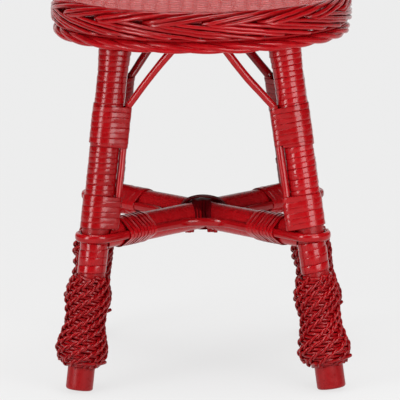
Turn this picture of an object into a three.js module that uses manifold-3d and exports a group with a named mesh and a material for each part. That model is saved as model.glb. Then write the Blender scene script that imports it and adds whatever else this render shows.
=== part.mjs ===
// A round wicker stool on four splayed legs, all enamelled red. Millimetres, +Z up, front at -Y.
// The origin lies on the ground, midway between the four feet.
// A rattan hoop joins the leg tops under the woven seat, a cross of two half-lapped poles ties the
// legs together low down, and cane strips bind the joints.
import * as THREE from "three";
import { mergeVertices } from "three/addons/utils/BufferGeometryUtils.js";
import Module from "manifold-3d";

const wasm = await Module();
wasm.setup();

const GAP = 0.3; // between pieces that touch

// Driving dimensions.
const SEAT_TOP = 450; // top of the seat's braided edge
const SEAT_RADIUS = 178.6;
const RIM_BOTTOM = 401.8;
const RIM_SEAM = 416.6; // between the braid and the rope below it
const RIM_ROUNDING = 4;
const ROPE_RADIUS = 178; // outside of the rope
const ROPE_THICKNESS = 13;
const PANEL_TOP = 447;
const PANEL_BOTTOM = 432.3;
const PANEL_RADIUS = 168;

const CROSS_SPREAD = 125.3; // x and y of a leg's axis at the height of the cross
// Inward lean of a leg's axis, per unit of height. The right legs were set leaning in a little more.
const LEAN_IN = { left: 0.115, right: 0.134, fromFrontOrBack: 0.1207 };
const POLE_RADIUS = 15.5;
const FOOT_ROUNDING = 3;
const FOOT_WEAR = 0.6; // depth of the flat worn on the foot's lowest edge
const WRAP_RADIUS = 17.5; // outside of the cane wound on a leg

const HOOP_RADIUS = 139;
const HOOP_ROD_RADIUS = 8;
const HOOP_HEIGHT = 424;
const LEG_TOP = HOOP_HEIGHT - HOOP_ROD_RADIUS - GAP;
const BAR_RADIUS = 7;
const BAR_OFFSET = 55; // y of the two bars under the seat

const CROSS_HEIGHT = 180.3; // axes of the two cross poles
const CROSS_RADIUS = 16.5;
const LOOP_WIDTH = 7; // the looped rod, flattened sideways
const LOOP_DEPTH = 10;
const LOOP_BEVEL = 2;
const LOOP_BEND = 1.6; // length of the bend at each end of a bow, in half bow lengths
const BOW_DISTANCE = 47.6; // from the crossing to the middle of a bow

const BRACE_RADIUS = { left: 4, right: 4.6, high: 4.8 }; // beside the leg on each side, and at the hoop
const BRACE_STANDOFF = { left: 0.3, right: 1.5 }; // from the cane on the leg
const BRACE_TURN = { left: 9, right: 18 }; // degrees outwards, from the line to the other side's leg
const BRACE_ELBOW = 334;
const BRACE_TOP = { left: 17.5, right: 13.5, out: 138 }; // x and y where a brace meets the hoop
const BINDING_THICKNESS = 1.3;
const CROSSING_BAND = { innerHalfWidth: 12, outerHalfWidth: 11, thickness: 1.6 };

// Heights on a leg's axis, from the ground.
const CUFF = [
  { radius: 18.5, height: 28 },
  { radius: 28.5, height: 39 },
  { radius: 31.4, height: 51 }, // lower bulge
  { radius: 23.3, height: 82 }, // waist
  { radius: 25.4, height: 108 }, // upper bulge
  { radius: 20, height: 135 },
];
const WRAP = { bottom: 135.8, lowerEnd: 171.5, upperStart: 189, top: 412 };
const LOWER_BINDING = { bottom: 189, top: 227 };
const UPPER_BINDING = { bottom: 284, top: 332 };
const ARM_BINDING_LENGTH = 45; // along a cross pole, starting at these distances from the crossing
const ARM_BINDING_START = { front_left: 100, front_right: 94, back_left: 94, back_right: 96 };

const NAIL_RADIUS = 1.5;
const NAIL_HOLE_RADIUS = 1.8;
const NAIL_SINK = 1; // every nail is headless and driven this far below the surface
const CROSS_NAIL_REACH = 62; // from a leg's axis into the pole
const SEAT_NAIL_REACH = 40; // down into the leg from its top
const HOLE_SPARE = 0.5; // depth of a hole past its nail's tip
const HOLE_RUNOUT = 4; // past the surface it opens on

const LEGS = [
  { name: "front_left", sx: -1, sy: -1 },
  { name: "front_right", sx: 1, sy: -1 },
  { name: "back_left", sx: -1, sy: 1 },
  { name: "back_right", sx: 1, sy: 1 },
];

const paint = (color, roughness) => new THREE.MeshStandardMaterial({ color, roughness, metalness: 0 });
const MATERIALS = {
  pole: paint(0xa80b12, 0.25),
  rod: paint(0xb00c14, 0.22),
  cane: paint(0xaa0a12, 0.24),
  wicker: paint(0xa50b12, 0.28),
  darkCane: paint(0x5a0710, 0.3),
  steel: new THREE.MeshStandardMaterial({ color: 0x8a8a88, roughness: 0.4, metalness: 1 }),
};

const stool = new THREE.Group();

function addMesh(parent, name, geometry, material) {
  const mesh = new THREE.Mesh(geometry, material);
  mesh.name = name;
  parent.add(mesh);
  return mesh;
}

// ---- Geometry helpers ----

function toSolid(geometry) {
  const bare = geometry.index ? geometry.toNonIndexed() : geometry.clone();
  bare.deleteAttribute("normal");
  bare.deleteAttribute("uv");
  const merged = mergeVertices(bare, 1e-4);
  return new wasm.Manifold(
    new wasm.Mesh({
      numProp: 3,
      vertProperties: merged.attributes.position.array,
      triVerts: new Uint32Array(merged.index.array),
    }),
  );
}

function toGeometry(solid) {
  const mesh = solid.getMesh();
  const geometry = new THREE.BufferGeometry();
  geometry.setAttribute("position", new THREE.BufferAttribute(mesh.vertProperties, 3));
  geometry.setIndex(new THREE.BufferAttribute(mesh.triVerts, 1));
  geometry.computeVertexNormals();
  return geometry;
}

// A solid of revolution about +Z from [radius, height] pairs.
function lathe(profile, segments) {
  const points = profile.map(([r, z]) => new THREE.Vector2(r, z));
  return new THREE.LatheGeometry(points, segments).rotateX(Math.PI / 2);
}

// A straight round bar from one point to another, of even radius unless it ends at another.
function bar(from, to, radius, sides = 16, endRadius = radius) {
  const along = new THREE.Vector3().subVectors(to, from);
  const turn = new THREE.Quaternion().setFromUnitVectors(
    new THREE.Vector3(0, 1, 0),
    along.clone().normalize(),
  );
  return new THREE.CylinderGeometry(endRadius, radius, along.length(), sides)
    .applyQuaternion(turn)
    .translate(...from.clone().addScaledVector(along, 0.5));
}

// A level slab between two heights, wider than the stool.
function slab(low, high) {
  const side = 4 * SEAT_RADIUS;
  return toSolid(new THREE.BoxGeometry(side, side, high - low).translate(0, 0, (low + high) / 2));
}

// The convex outline round some circles or ellipses {x, y, r, ry}, each grown by a margin.
function hullOutline(circles, margin, pointsPerCircle = 24) {
  const points = [];
  for (const { x, y, r, ry = r } of circles)
    for (let i = 0; i < pointsPerCircle; i++) {
      const a = (2 * Math.PI * i) / pointsPerCircle;
      points.push(
        new THREE.Vector2(x + (r + margin) * Math.cos(a), y + (ry + margin) * Math.sin(a)),
      );
    }
  points.sort((p, q) => p.x - q.x || p.y - q.y);
  const turnsRight = (o, p, q) => (p.x - o.x) * (q.y - o.y) - (p.y - o.y) * (q.x - o.x) <= 1e-6;
  const chain = (list) => {
    const kept = [];
    for (const p of list) {
      while (kept.length > 1 && turnsRight(kept.at(-2), kept.at(-1), p)) kept.pop();
      kept.push(p);
    }
    return kept.slice(0, -1);
  };
  return [...chain(points), ...chain(points.reverse())];
}

// A band of even thickness round some circles, its axis along +Z from 0 to the length.
function band(circles, length, thickness = BINDING_THICKNESS) {
  const shape = new THREE.Shape(hullOutline(circles, GAP + thickness));
  shape.holes.push(new THREE.Path(hullOutline(circles, GAP)));
  return new THREE.ExtrudeGeometry(shape, { depth: length, bevelEnabled: false });
}

// The two sides of a ribbon of even width about a polyline, as one closed outline.
function ribbonOutline(points, width) {
  const left = [];
  const right = [];
  points.forEach((p, i) => {
    const before = points[Math.max(i - 1, 0)];
    const after = points[Math.min(i + 1, points.length - 1)];
    const way = new THREE.Vector2().subVectors(after, before).normalize();
    const side = new THREE.Vector2(-way.y, way.x).multiplyScalar(width / 2);
    left.push(p.clone().add(side));
    right.push(p.clone().sub(side));
  });
  return [...left, ...right.reverse()];
}

// A ring about +Z whose section is a rectangle with rounded corners.
function roundedRing(inner, outer, low, high, rounding) {
  const corners = [];
  for (const x of [inner + rounding, outer - rounding])
    for (const y of [low + rounding, high - rounding]) corners.push({ x, y, r: rounding });
  const outline = hullOutline(corners, 0, 12).map(({ x, y }) => [x, y]);
  return lathe([...outline, outline[0]], 48);
}

// ---- A leg's own frame: +Z runs up the leg's axis from the ground ----

const sideOf = ({ sx }) => (sx < 0 ? "left" : "right");
const leanAcross = (leg) => LEAN_IN[sideOf(leg)];
const leanAlong = LEAN_IN.fromFrontOrBack;
const tiltOf = (leg) => Math.atan(Math.hypot(leanAcross(leg), leanAlong));
const LENGTHENING = 1 / Math.cos(tiltOf({ sx: 1 })); // length along the steepest leg, per height
const alongLeg = (height) => height * LENGTHENING;

function legGroup(leg) {
  const group = new THREE.Group();
  const footX = CROSS_SPREAD + leanAcross(leg) * CROSS_HEIGHT;
  const footY = CROSS_SPREAD + leanAlong * CROSS_HEIGHT;
  const axis = new THREE.Vector3(-leg.sx * leanAcross(leg), -leg.sy * leanAlong, 1).normalize();
  group.position.set(leg.sx * footX, leg.sy * footY, 0);
  group.quaternion.setFromUnitVectors(new THREE.Vector3(0, 0, 1), axis);
  group.updateMatrixWorld(true);
  return group;
}

// Where the brace stands beside a leg, across the leg's axis.
function braceSeat(leg) {
  const reach = WRAP_RADIUS + BRACE_STANDOFF[sideOf(leg)] + BRACE_RADIUS[sideOf(leg)];
  const turn = THREE.MathUtils.degToRad(BRACE_TURN[sideOf(leg)]);
  const x = -leg.sx * Math.cos(turn);
  const y = leg.sy * Math.sin(turn);
  return new THREE.Vector2(x, y).multiplyScalar(reach);
}

function bindingCircles(leg) {
  const { x, y } = braceSeat(leg);
  return [
    { x: 0, y: 0, r: WRAP_RADIUS },
    { x, y, r: BRACE_RADIUS[sideOf(leg)] },
  ];
}

// ---- Nails, and the holes they sit in ----

const diagonal = (leg) => new THREE.Vector3(leg.sx, leg.sy, 0).normalize();
const onArm = (leg, distance) =>
  diagonal(leg).multiplyScalar(distance).setZ(CROSS_HEIGHT);
const LEG_DISTANCE = Math.SQRT2 * CROSS_SPREAD; // crossing to leg axis
const LOOP_OFFSET = CROSS_RADIUS + GAP + LOOP_WIDTH / 2;

const CROSS_NAIL = {
  tip: LEG_DISTANCE - CROSS_NAIL_REACH,
  end: LEG_DISTANCE + LOOP_OFFSET + LOOP_WIDTH / 2 - NAIL_SINK,
};
const SEAT_NAIL = {
  tip: LEG_TOP - SEAT_NAIL_REACH,
  end: HOOP_HEIGHT + HOOP_ROD_RADIUS - NAIL_SINK,
};

const seatNailPoint = (leg, height) => diagonal(leg).multiplyScalar(HOOP_RADIUS).setZ(height);

function crossNailHole(leg) {
  const tip = onArm(leg, CROSS_NAIL.tip - HOLE_SPARE);
  const mouth = onArm(leg, CROSS_NAIL.end + HOLE_RUNOUT);
  return toSolid(bar(tip, mouth, NAIL_HOLE_RADIUS, 8));
}

function seatNailHole(leg) {
  const tip = seatNailPoint(leg, SEAT_NAIL.tip - HOLE_SPARE);
  const mouth = seatNailPoint(leg, SEAT_NAIL.end + HOLE_RUNOUT);
  return toSolid(bar(tip, mouth, NAIL_HOLE_RADIUS, 8));
}

// ---- Legs ----

// The pole is cut square below, level under the hoop, and worn flat on its lowest edge.
function legPole(leg, frame) {
  const tilt = tiltOf(leg);
  const edge = POLE_RADIUS - FOOT_ROUNDING;
  const sole = edge * Math.sin(tilt) + FOOT_ROUNDING * (1 - Math.cos(tilt)) - FOOT_WEAR;
  const start = sole / Math.cos(tilt);
  const profile = [[0, start], [edge, start]];
  for (const degrees of [30, 60, 90]) {
    const a = THREE.MathUtils.degToRad(degrees);
    profile.push([edge + FOOT_ROUNDING * Math.sin(a), start + FOOT_ROUNDING * (1 - Math.cos(a))]);
  }
  profile.push([POLE_RADIUS, alongLeg(HOOP_HEIGHT)], [0, alongLeg(HOOP_HEIGHT)]);
  return toSolid(lathe(profile, 24).applyMatrix4(frame.matrixWorld))
    .subtract(slab(LEG_TOP, SEAT_TOP))
    .subtract(slab(-SEAT_RADIUS, 0))
    .subtract(crossNailHole(leg))
    .subtract(seatNailHole(leg));
}

function wrapSleeve(from, to) {
  const inner = POLE_RADIUS + GAP;
  const low = alongLeg(from);
  const high = alongLeg(to);
  const section = [[inner, low], [WRAP_RADIUS, low], [WRAP_RADIUS, high], [inner, high], [inner, low]];
  return lathe(section, 20);
}

// The twined sleeve above the foot swells twice.
function cuff() {
  const inner = POLE_RADIUS + GAP;
  const keys = CUFF.map(({ radius, height }) => new THREE.Vector2(radius, alongLeg(height)));
  const outer = new THREE.SplineCurve(keys).getPoints(12).map(({ x, y }) => [x, y]);
  const start = [inner, keys[0].y];
  return lathe([start, ...outer, [inner, keys.at(-1).y], start], 20);
}

// A brace runs straight up beside the leg, bends above the upper binding and ends under the hoop.
function brace(leg, frame) {
  const { x, y } = braceSeat(leg);
  const side = sideOf(leg);
  const radius = BRACE_RADIUS[side];
  const foot = frame.localToWorld(new THREE.Vector3(x, y, alongLeg(LOWER_BINDING.bottom)));
  const elbow = frame.localToWorld(new THREE.Vector3(x, y, alongLeg(BRACE_ELBOW)));
  const top = new THREE.Vector3(leg.sx * BRACE_TOP[side], leg.sy * BRACE_TOP.out, HOOP_HEIGHT);
  const joint = new THREE.SphereGeometry(radius, 8, 5).translate(...elbow);
  return toSolid(bar(foot, elbow, radius, 8))
    .add(toSolid(bar(elbow, top, radius, 8, BRACE_RADIUS.high)))
    .add(toSolid(joint))
    .subtract(slab(LEG_TOP, SEAT_TOP));
}

// ---- The cross of poles low down ----

// What the leg, its wrapping and its lower binding take from the end of a cross pole.
function copeCut(leg, frame) {
  const spare = 1;
  const depth = alongLeg(LOWER_BINDING.top - LOWER_BINDING.bottom) + 2 * spare;
  const shape = new THREE.Shape(hullOutline(bindingCircles(leg), 2 * GAP + BINDING_THICKNESS));
  const binding = new THREE.ExtrudeGeometry(shape, { depth, bevelEnabled: false });
  binding.translate(0, 0, alongLeg(LOWER_BINDING.bottom) - spare);
  const length = 6 * CROSS_RADIUS;
  const sleeve = new THREE.CylinderGeometry(WRAP_RADIUS + GAP, WRAP_RADIUS + GAP, length, 24)
    .rotateX(Math.PI / 2)
    .translate(0, 0, alongLeg(CROSS_HEIGHT));
  return toSolid(binding.applyMatrix4(frame.matrixWorld)).add(
    toSolid(sleeve.applyMatrix4(frame.matrixWorld)),
  );
}

// The half of the crossing that one pole gives up to the other: above its axis or below it.
function lapCut(leg, above) {
  const width = 2 * (CROSS_RADIUS + GAP);
  const height = 2 * CROSS_RADIUS;
  const shift = (above ? 1 : -1) * (height / 2 - GAP / 2);
  return toSolid(
    new THREE.BoxGeometry(width, 3 * width, height)
      .rotateZ(Math.atan2(leg.sy, leg.sx))
      .translate(0, 0, CROSS_HEIGHT + shift),
  );
}

function crossPole(near, far, frames, above) {
  return toSolid(bar(onArm(near, LEG_DISTANCE), onArm(far, LEG_DISTANCE), CROSS_RADIUS, 24))
    .subtract(lapCut(near, above))
    .subtract(copeCut(near, frames.get(near)))
    .subtract(copeCut(far, frames.get(far)))
    .subtract(crossNailHole(near))
    .subtract(crossNailHole(far));
}

// A rod looped round the outside of a leg. Both its ends run in along the sides of the cross pole,
// then bow away to meet the neighbouring loops' ends between the poles.
function loopRod(leg) {
  const endAcross = BOW_DISTANCE / Math.SQRT2 - GAP / 2;
  const endAlong = endAcross + GAP;
  const bend = endAlong + endAcross - LOOP_OFFSET;
  const straight = bend + LOOP_BEND * (bend - endAlong);
  const square = 2; // each end leaves square to its neighbour's
  const path = new THREE.Path();
  path.moveTo(endAlong, endAcross);
  path.lineTo(endAlong + square, endAcross - square);
  path.quadraticCurveTo(bend, LOOP_OFFSET, straight, LOOP_OFFSET);
  path.lineTo(LEG_DISTANCE, LOOP_OFFSET);
  path.absarc(LEG_DISTANCE, 0, LOOP_OFFSET, Math.PI / 2, -Math.PI / 2, true);
  path.lineTo(straight, -LOOP_OFFSET);
  path.quadraticCurveTo(bend, -LOOP_OFFSET, endAlong + square, square - endAcross);
  path.lineTo(endAlong, -endAcross);
  const shape = new THREE.Shape(ribbonOutline(path.getPoints(7), LOOP_WIDTH));
  const rod = new THREE.ExtrudeGeometry(shape, {
    depth: LOOP_DEPTH - 2 * LOOP_BEVEL,
    bevelThickness: LOOP_BEVEL,
    bevelSize: LOOP_BEVEL,
    bevelOffset: -LOOP_BEVEL,
    bevelSegments: 1,
  });
  rod
    .translate(0, 0, CROSS_HEIGHT - LOOP_DEPTH / 2 + LOOP_BEVEL)
    .rotateZ(Math.atan2(leg.sy, leg.sx));
  return toSolid(rod).subtract(crossNailHole(leg));
}

// Cane wound round a cross pole and the two rods beside it.
function armBinding(leg) {
  const circles = [{ x: 0, y: 0, r: CROSS_RADIUS }];
  const cornerX = LOOP_WIDTH / 2 - LOOP_BEVEL;
  const cornerY = LOOP_DEPTH / 2 - LOOP_BEVEL;
  for (const x of [LOOP_OFFSET + cornerX, -LOOP_OFFSET - cornerX])
    for (const y of [cornerY, -cornerY]) circles.push({ x, y, r: LOOP_BEVEL });
  return band(circles, ARM_BINDING_LENGTH)
    .rotateX(Math.PI / 2)
    .rotateZ(Math.PI / 2)
    .translate(ARM_BINDING_START[leg.name], 0, CROSS_HEIGHT)
    .rotateZ(Math.atan2(leg.sy, leg.sx));
}

// A band of lashing round the crossing, wound across one axis. The outer band lies on the inner one.
function crossingBand(halfWidth, rise) {
  const section = { y: 0, r: CROSS_RADIUS * Math.SQRT2, ry: CROSS_RADIUS + rise };
  const circles = [
    { x: halfWidth, ...section },
    { x: -halfWidth, ...section },
  ];
  return band(circles, 2 * halfWidth, CROSSING_BAND.thickness)
    .translate(0, 0, -halfWidth)
    .rotateX(Math.PI / 2)
    .translate(0, 0, CROSS_HEIGHT);
}

// ---- The seat ----

// A ring of eight-sided section whose flats lie at the given radius from the hoop's centre line.
function hoopRing(flatRadius) {
  const sides = 8;
  const corner = flatRadius / Math.cos(Math.PI / sides);
  const profile = [];
  for (let i = 0; i <= sides; i++) {
    const a = (2 * Math.PI * (i + 0.5)) / sides;
    profile.push([HOOP_RADIUS + corner * Math.cos(a), HOOP_HEIGHT + corner * Math.sin(a)]);
  }
  return toSolid(lathe(profile, 40));
}

function seatHoop() {
  let hoop = hoopRing(HOOP_ROD_RADIUS);
  for (const leg of LEGS) hoop = hoop.subtract(seatNailHole(leg));
  return hoop;
}

// A bar across the seat, its ends shaped to the inside of the hoop.
function seatBar(side) {
  const reach = Math.sqrt((HOOP_RADIUS - HOOP_ROD_RADIUS) ** 2 - BAR_OFFSET ** 2);
  const left = new THREE.Vector3(-reach, side * BAR_OFFSET, HOOP_HEIGHT);
  const right = left.clone().setX(reach);
  return toSolid(bar(left, right, BAR_RADIUS, 12)).subtract(hoopRing(HOOP_ROD_RADIUS + GAP));
}

// The braided edge, as a wall round the woven panel.
function rimBraid() {
  return roundedRing(PANEL_RADIUS + GAP, SEAT_RADIUS, RIM_SEAM, SEAT_TOP, RIM_ROUNDING);
}

// The rope of thicker rods that closes the edge below.
function rimRope() {
  const inner = ROPE_RADIUS - ROPE_THICKNESS;
  return roundedRing(inner, ROPE_RADIUS, RIM_BOTTOM, RIM_SEAM - GAP, RIM_ROUNDING);
}

// ---- Assembly ----

const frames = new Map(LEGS.map((leg) => [leg, legGroup(leg)]));

for (const leg of LEGS) {
  const frame = frames.get(leg);
  stool.add(frame);
  addMesh(stool, `leg_pole_${leg.name}`, toGeometry(legPole(leg, frame)), MATERIALS.pole);
  const upper = wrapSleeve(WRAP.upperStart, WRAP.top);
  const lower = wrapSleeve(WRAP.bottom, WRAP.lowerEnd);
  addMesh(frame, `leg_wrap_upper_${leg.name}`, upper, MATERIALS.cane);
  addMesh(frame, `leg_wrap_lower_${leg.name}`, lower, MATERIALS.cane);
  addMesh(frame, `leg_cuff_${leg.name}`, cuff(), MATERIALS.wicker);
  const bindings = [["upper_binding", UPPER_BINDING], ["lower_binding", LOWER_BINDING]];
  for (const [name, { bottom, top }] of bindings) {
    const mesh = addMesh(
      frame,
      `${name}_${leg.name}`,
      band(bindingCircles(leg), alongLeg(top) - alongLeg(bottom)),
      MATERIALS.cane,
    );
    mesh.position.z = alongLeg(bottom);
  }
  addMesh(stool, `brace_${leg.name}`, toGeometry(brace(leg, frame)), MATERIALS.rod);
}

const [frontLeft, frontRight, backLeft, backRight] = LEGS;
const lowerPole = crossPole(frontLeft, backRight, frames, true);
const upperPole = crossPole(frontRight, backLeft, frames, false);
addMesh(stool, "cross_pole_front_left", toGeometry(lowerPole), MATERIALS.pole);
addMesh(stool, "cross_pole_front_right", toGeometry(upperPole), MATERIALS.pole);

for (const leg of LEGS) {
  addMesh(stool, `loop_rod_${leg.name}`, toGeometry(loopRod(leg)), MATERIALS.rod);
  addMesh(stool, `arm_binding_${leg.name}`, armBinding(leg), MATERIALS.cane);
  const crossNail = bar(onArm(leg, CROSS_NAIL.tip), onArm(leg, CROSS_NAIL.end), NAIL_RADIUS, 8);
  const seatNail = bar(
    seatNailPoint(leg, SEAT_NAIL.tip),
    seatNailPoint(leg, SEAT_NAIL.end),
    NAIL_RADIUS,
    8,
  );
  addMesh(stool, `cross_nail_${leg.name}`, crossNail, MATERIALS.steel);
  addMesh(stool, `seat_nail_${leg.name}`, seatNail, MATERIALS.steel);
}

const innerBand = crossingBand(CROSSING_BAND.innerHalfWidth, 0).rotateZ(Math.PI / 2);
const outerRise = CROSSING_BAND.thickness + GAP;
const outerBand = crossingBand(CROSSING_BAND.outerHalfWidth, outerRise);
addMesh(stool, "crossing_band_inner", innerBand, MATERIALS.darkCane);
addMesh(stool, "crossing_band_outer", outerBand, MATERIALS.darkCane);

addMesh(stool, "seat_hoop", toGeometry(seatHoop()), MATERIALS.pole);
addMesh(stool, "seat_bar_front", toGeometry(seatBar(-1)), MATERIALS.pole);
addMesh(stool, "seat_bar_back", toGeometry(seatBar(1)), MATERIALS.pole);
const panel = new THREE.CylinderGeometry(PANEL_RADIUS, PANEL_RADIUS, PANEL_TOP - PANEL_BOTTOM, 48)
  .rotateX(Math.PI / 2)
  .translate(0, 0, (PANEL_TOP + PANEL_BOTTOM) / 2);
addMesh(stool, "seat_panel", panel, MATERIALS.wicker);
addMesh(stool, "rim_braid", rimBraid(), MATERIALS.wicker);
addMesh(stool, "rim_rope", rimRope(), MATERIALS.wicker);

export default stool;
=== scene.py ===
"""A round wicker stool: rattan poles wound with cane, a woven seat and twined cuffs, in red enamel.

Metres, +Z up, front at -Y, origin on the ground between the feet, as in the CAD frame.
"""

import math

import bpy
import numpy as np
from mathutils import Matrix, Vector


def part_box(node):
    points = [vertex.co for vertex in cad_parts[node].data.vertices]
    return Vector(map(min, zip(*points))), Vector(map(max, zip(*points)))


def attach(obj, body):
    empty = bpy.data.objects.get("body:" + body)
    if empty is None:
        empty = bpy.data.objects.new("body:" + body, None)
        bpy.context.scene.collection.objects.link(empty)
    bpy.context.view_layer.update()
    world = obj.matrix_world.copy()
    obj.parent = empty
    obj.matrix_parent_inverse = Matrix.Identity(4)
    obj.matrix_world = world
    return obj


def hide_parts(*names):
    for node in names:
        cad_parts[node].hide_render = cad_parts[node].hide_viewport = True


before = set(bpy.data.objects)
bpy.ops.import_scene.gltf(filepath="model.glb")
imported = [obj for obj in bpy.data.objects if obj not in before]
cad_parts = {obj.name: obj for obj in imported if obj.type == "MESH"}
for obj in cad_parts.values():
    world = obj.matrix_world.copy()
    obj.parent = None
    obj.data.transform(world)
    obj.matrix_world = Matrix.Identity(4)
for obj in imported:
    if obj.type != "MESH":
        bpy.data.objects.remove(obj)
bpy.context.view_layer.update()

MM = 0.001

# ---- Sizes, from the frame ----

SEAT_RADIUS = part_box("rim_braid")[1].x
RIM_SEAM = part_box("rim_braid")[0].z
ROPE_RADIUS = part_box("rim_rope")[1].x
RIM_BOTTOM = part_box("rim_rope")[0].z
PANEL_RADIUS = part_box("seat_panel")[1].x
PANEL_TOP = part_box("seat_panel")[1].z
HOOP_LOW, HOOP_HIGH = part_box("seat_hoop")
HOOP_HEIGHT = (HOOP_LOW.z + HOOP_HIGH.z) / 2
HOOP_ROD = (HOOP_HIGH.z - HOOP_LOW.z) / 2
HOOP_RADIUS = HOOP_HIGH.x - HOOP_ROD
BAR_ROD = (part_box("seat_bar_back")[1].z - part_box("seat_bar_back")[0].z) / 2
BAR_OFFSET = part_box("seat_bar_back")[1].y - BAR_ROD
LEG_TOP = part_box("leg_pole_front_left")[1].z
LOOP_HEIGHT = (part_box("loop_rod_front_left")[0].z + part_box("loop_rod_front_left")[1].z) / 2

# ---- Sizes that the frame's boxes don't show. Keys of -1 and 1 are the left side and the right ----

GAP = 0.3 * MM  # between pieces that touch
POLE, WRAP, CROSS = 15.5 * MM, 17.5 * MM, 16.5 * MM  # radii: a leg's pole, its cane, a cross pole

CROSS_SPREAD = 125.3 * MM  # x and y of a leg's axis at the height of the cross
LEG_DISTANCE = math.sqrt(2) * CROSS_SPREAD  # from the crossing to a leg's axis
LEAN = {-1: 0.115, 1: 0.134}  # inward, per unit of height
LEAN_DEPTH = 0.1207  # the same, from front to back
LENGTHENING = math.sqrt(1 + LEAN[1] ** 2 + LEAN_DEPTH**2)  # along a leg, per unit of height

# Heights at which each thing wound on a leg starts and stops, and the cuff's outline.
LOWER_WRAP = (135.8 * MM, 171.5 * MM)
LOWER_BINDING = (189 * MM, 227 * MM)
UPPER_WRAP = (189 * MM, 412 * MM)
UPPER_BINDING = (284 * MM, 332 * MM)
# As (height, radius), in mm.
CUFF_PROFILE = [(28, 18.5), (39, 28.5), (51, 31.4), (82, 23.3), (108, 25.4), (135, 20)]

BRACE = {-1: 4.0 * MM, 1: 4.6 * MM}  # radius beside the leg
BRACE_HIGH = 4.8 * MM  # radius at the top
BRACE_TURN = {-1: math.radians(9), 1: math.radians(18)}  # round the leg, towards the front or back
BRACE_ELBOW = 331 * MM  # height of the bend
BRACE_TOP = {-1: 17.5 * MM, 1: 13.5 * MM}  # x where it meets the hoop
BRACE_TOP_OUT = 138 * MM  # y where it meets the hoop
# A brace's gap from the cane on its leg, by side and by front (-1) or back (1).
STANDOFF = {(-1, -1): 0.1 * MM, (-1, 1): 0.1 * MM, (1, -1): 0.4 * MM, (1, 1): 2.7 * MM}

LOOP_HALF = (3.5 * MM, 5 * MM)  # half the width and height of a looped rod
LOOP_OFFSET = CROSS + GAP + LOOP_HALF[0]  # from the cross pole's axis
BOW_DISTANCE = 47.6 * MM  # from the crossing to the middle of a bow
ARM_BINDING_LENGTH = 45 * MM
# Distance from the crossing to the near end of each arm's binding.
ARM_BINDING_START = {
    "front_left": 100 * MM,
    "front_right": 94 * MM,
    "back_left": 94 * MM,
    "back_right": 96 * MM,
}

LEGS = [
    ("front_left", -1, -1),
    ("front_right", 1, -1),
    ("back_left", -1, 1),
    ("back_right", 1, 1),
]

# ---- Places to work in: round a leg, along an arm of the cross ----


class Place:
    """An origin and three axes."""

    def __init__(self, origin, x, y, z):
        self.origin = np.array(origin, float)
        self.axes = np.array([x, y, z], float)

    def point(self, local):
        """The frame's place for a place in these axes."""
        return self.origin + np.asarray(local, float) @ self.axes

    def way(self, local):
        """The frame's direction for a direction in these axes."""
        return np.asarray(local, float) @ self.axes


def leg_place(sx, sy):
    """z runs up the leg's axis from the ground."""
    axis = Vector((-sx * LEAN[sx], -sy * LEAN_DEPTH, 1)).normalized()
    turn = Vector((0, 0, 1)).rotation_difference(axis)
    axes = [turn @ Vector(v) for v in ((1, 0, 0), (0, 1, 0), (0, 0, 1))]
    x = sx * (CROSS_SPREAD + LEAN[sx] * LOOP_HEIGHT)
    y = sy * (CROSS_SPREAD + LEAN_DEPTH * LOOP_HEIGHT)
    return Place((x, y, 0), *axes)


def arm_place(sx, sy):
    """x runs out from the crossing to the leg, y to the left of it, z up."""
    along = np.array([sx, sy, 0]) / math.sqrt(2)
    return Place((0, 0, LOOP_HEIGHT), along, np.cross([0, 0, 1], along), (0, 0, 1))


# ---- Smooth random wandering ----


def wander(at, amount, wavelength, rng):
    """Smooth noise at the given distances, about zero."""
    total = np.zeros(len(at))
    for share, shrink in ((0.6, 1.0), (0.4, 0.53), (0.25, 0.29)):
        phase = rng.uniform(0, 2 * math.pi)
        total += share * np.sin(2 * math.pi * at / (wavelength * shrink) + phase)
    return amount * total


def lengths_of(points):
    """Each point's distance along the line through the points."""
    steps = np.linalg.norm(np.diff(points, axis=0), axis=1)
    return np.concatenate([[0], np.cumsum(steps)])


def resample(points, step):
    """The same line with evenly spaced points."""
    points = np.asarray(points, float)
    at = lengths_of(points)
    count = max(2, int(round(at[-1] / step)) + 1)
    even = np.linspace(0, at[-1], count)
    return np.stack([np.interp(even, at, points[:, k]) for k in range(3)], axis=1)


def smooth_line(keys, step):
    """A Catmull-Rom line through a few key points, evenly spaced."""
    keys = np.asarray(keys, float)
    padded = np.vstack([2 * keys[0] - keys[1], keys, 2 * keys[-1] - keys[-2]])
    t = np.linspace(0, 1, 17)[:-1, None]
    parts = []
    for a, b, c, d in zip(padded, padded[1:], padded[2:], padded[3:]):
        parts.append(
            0.5 * (2 * b + (c - a) * t + (2 * a - 5 * b + 4 * c - d) * t**2
                   + (3 * b - a - 3 * c + d) * t**3)
        )
    return resample(np.vstack(parts + [keys[-1:]]), step)


# ---- Strands: rods and strips swept along a line ----

SHARP = math.radians(70)  # edges turned more than this stay crisp


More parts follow.
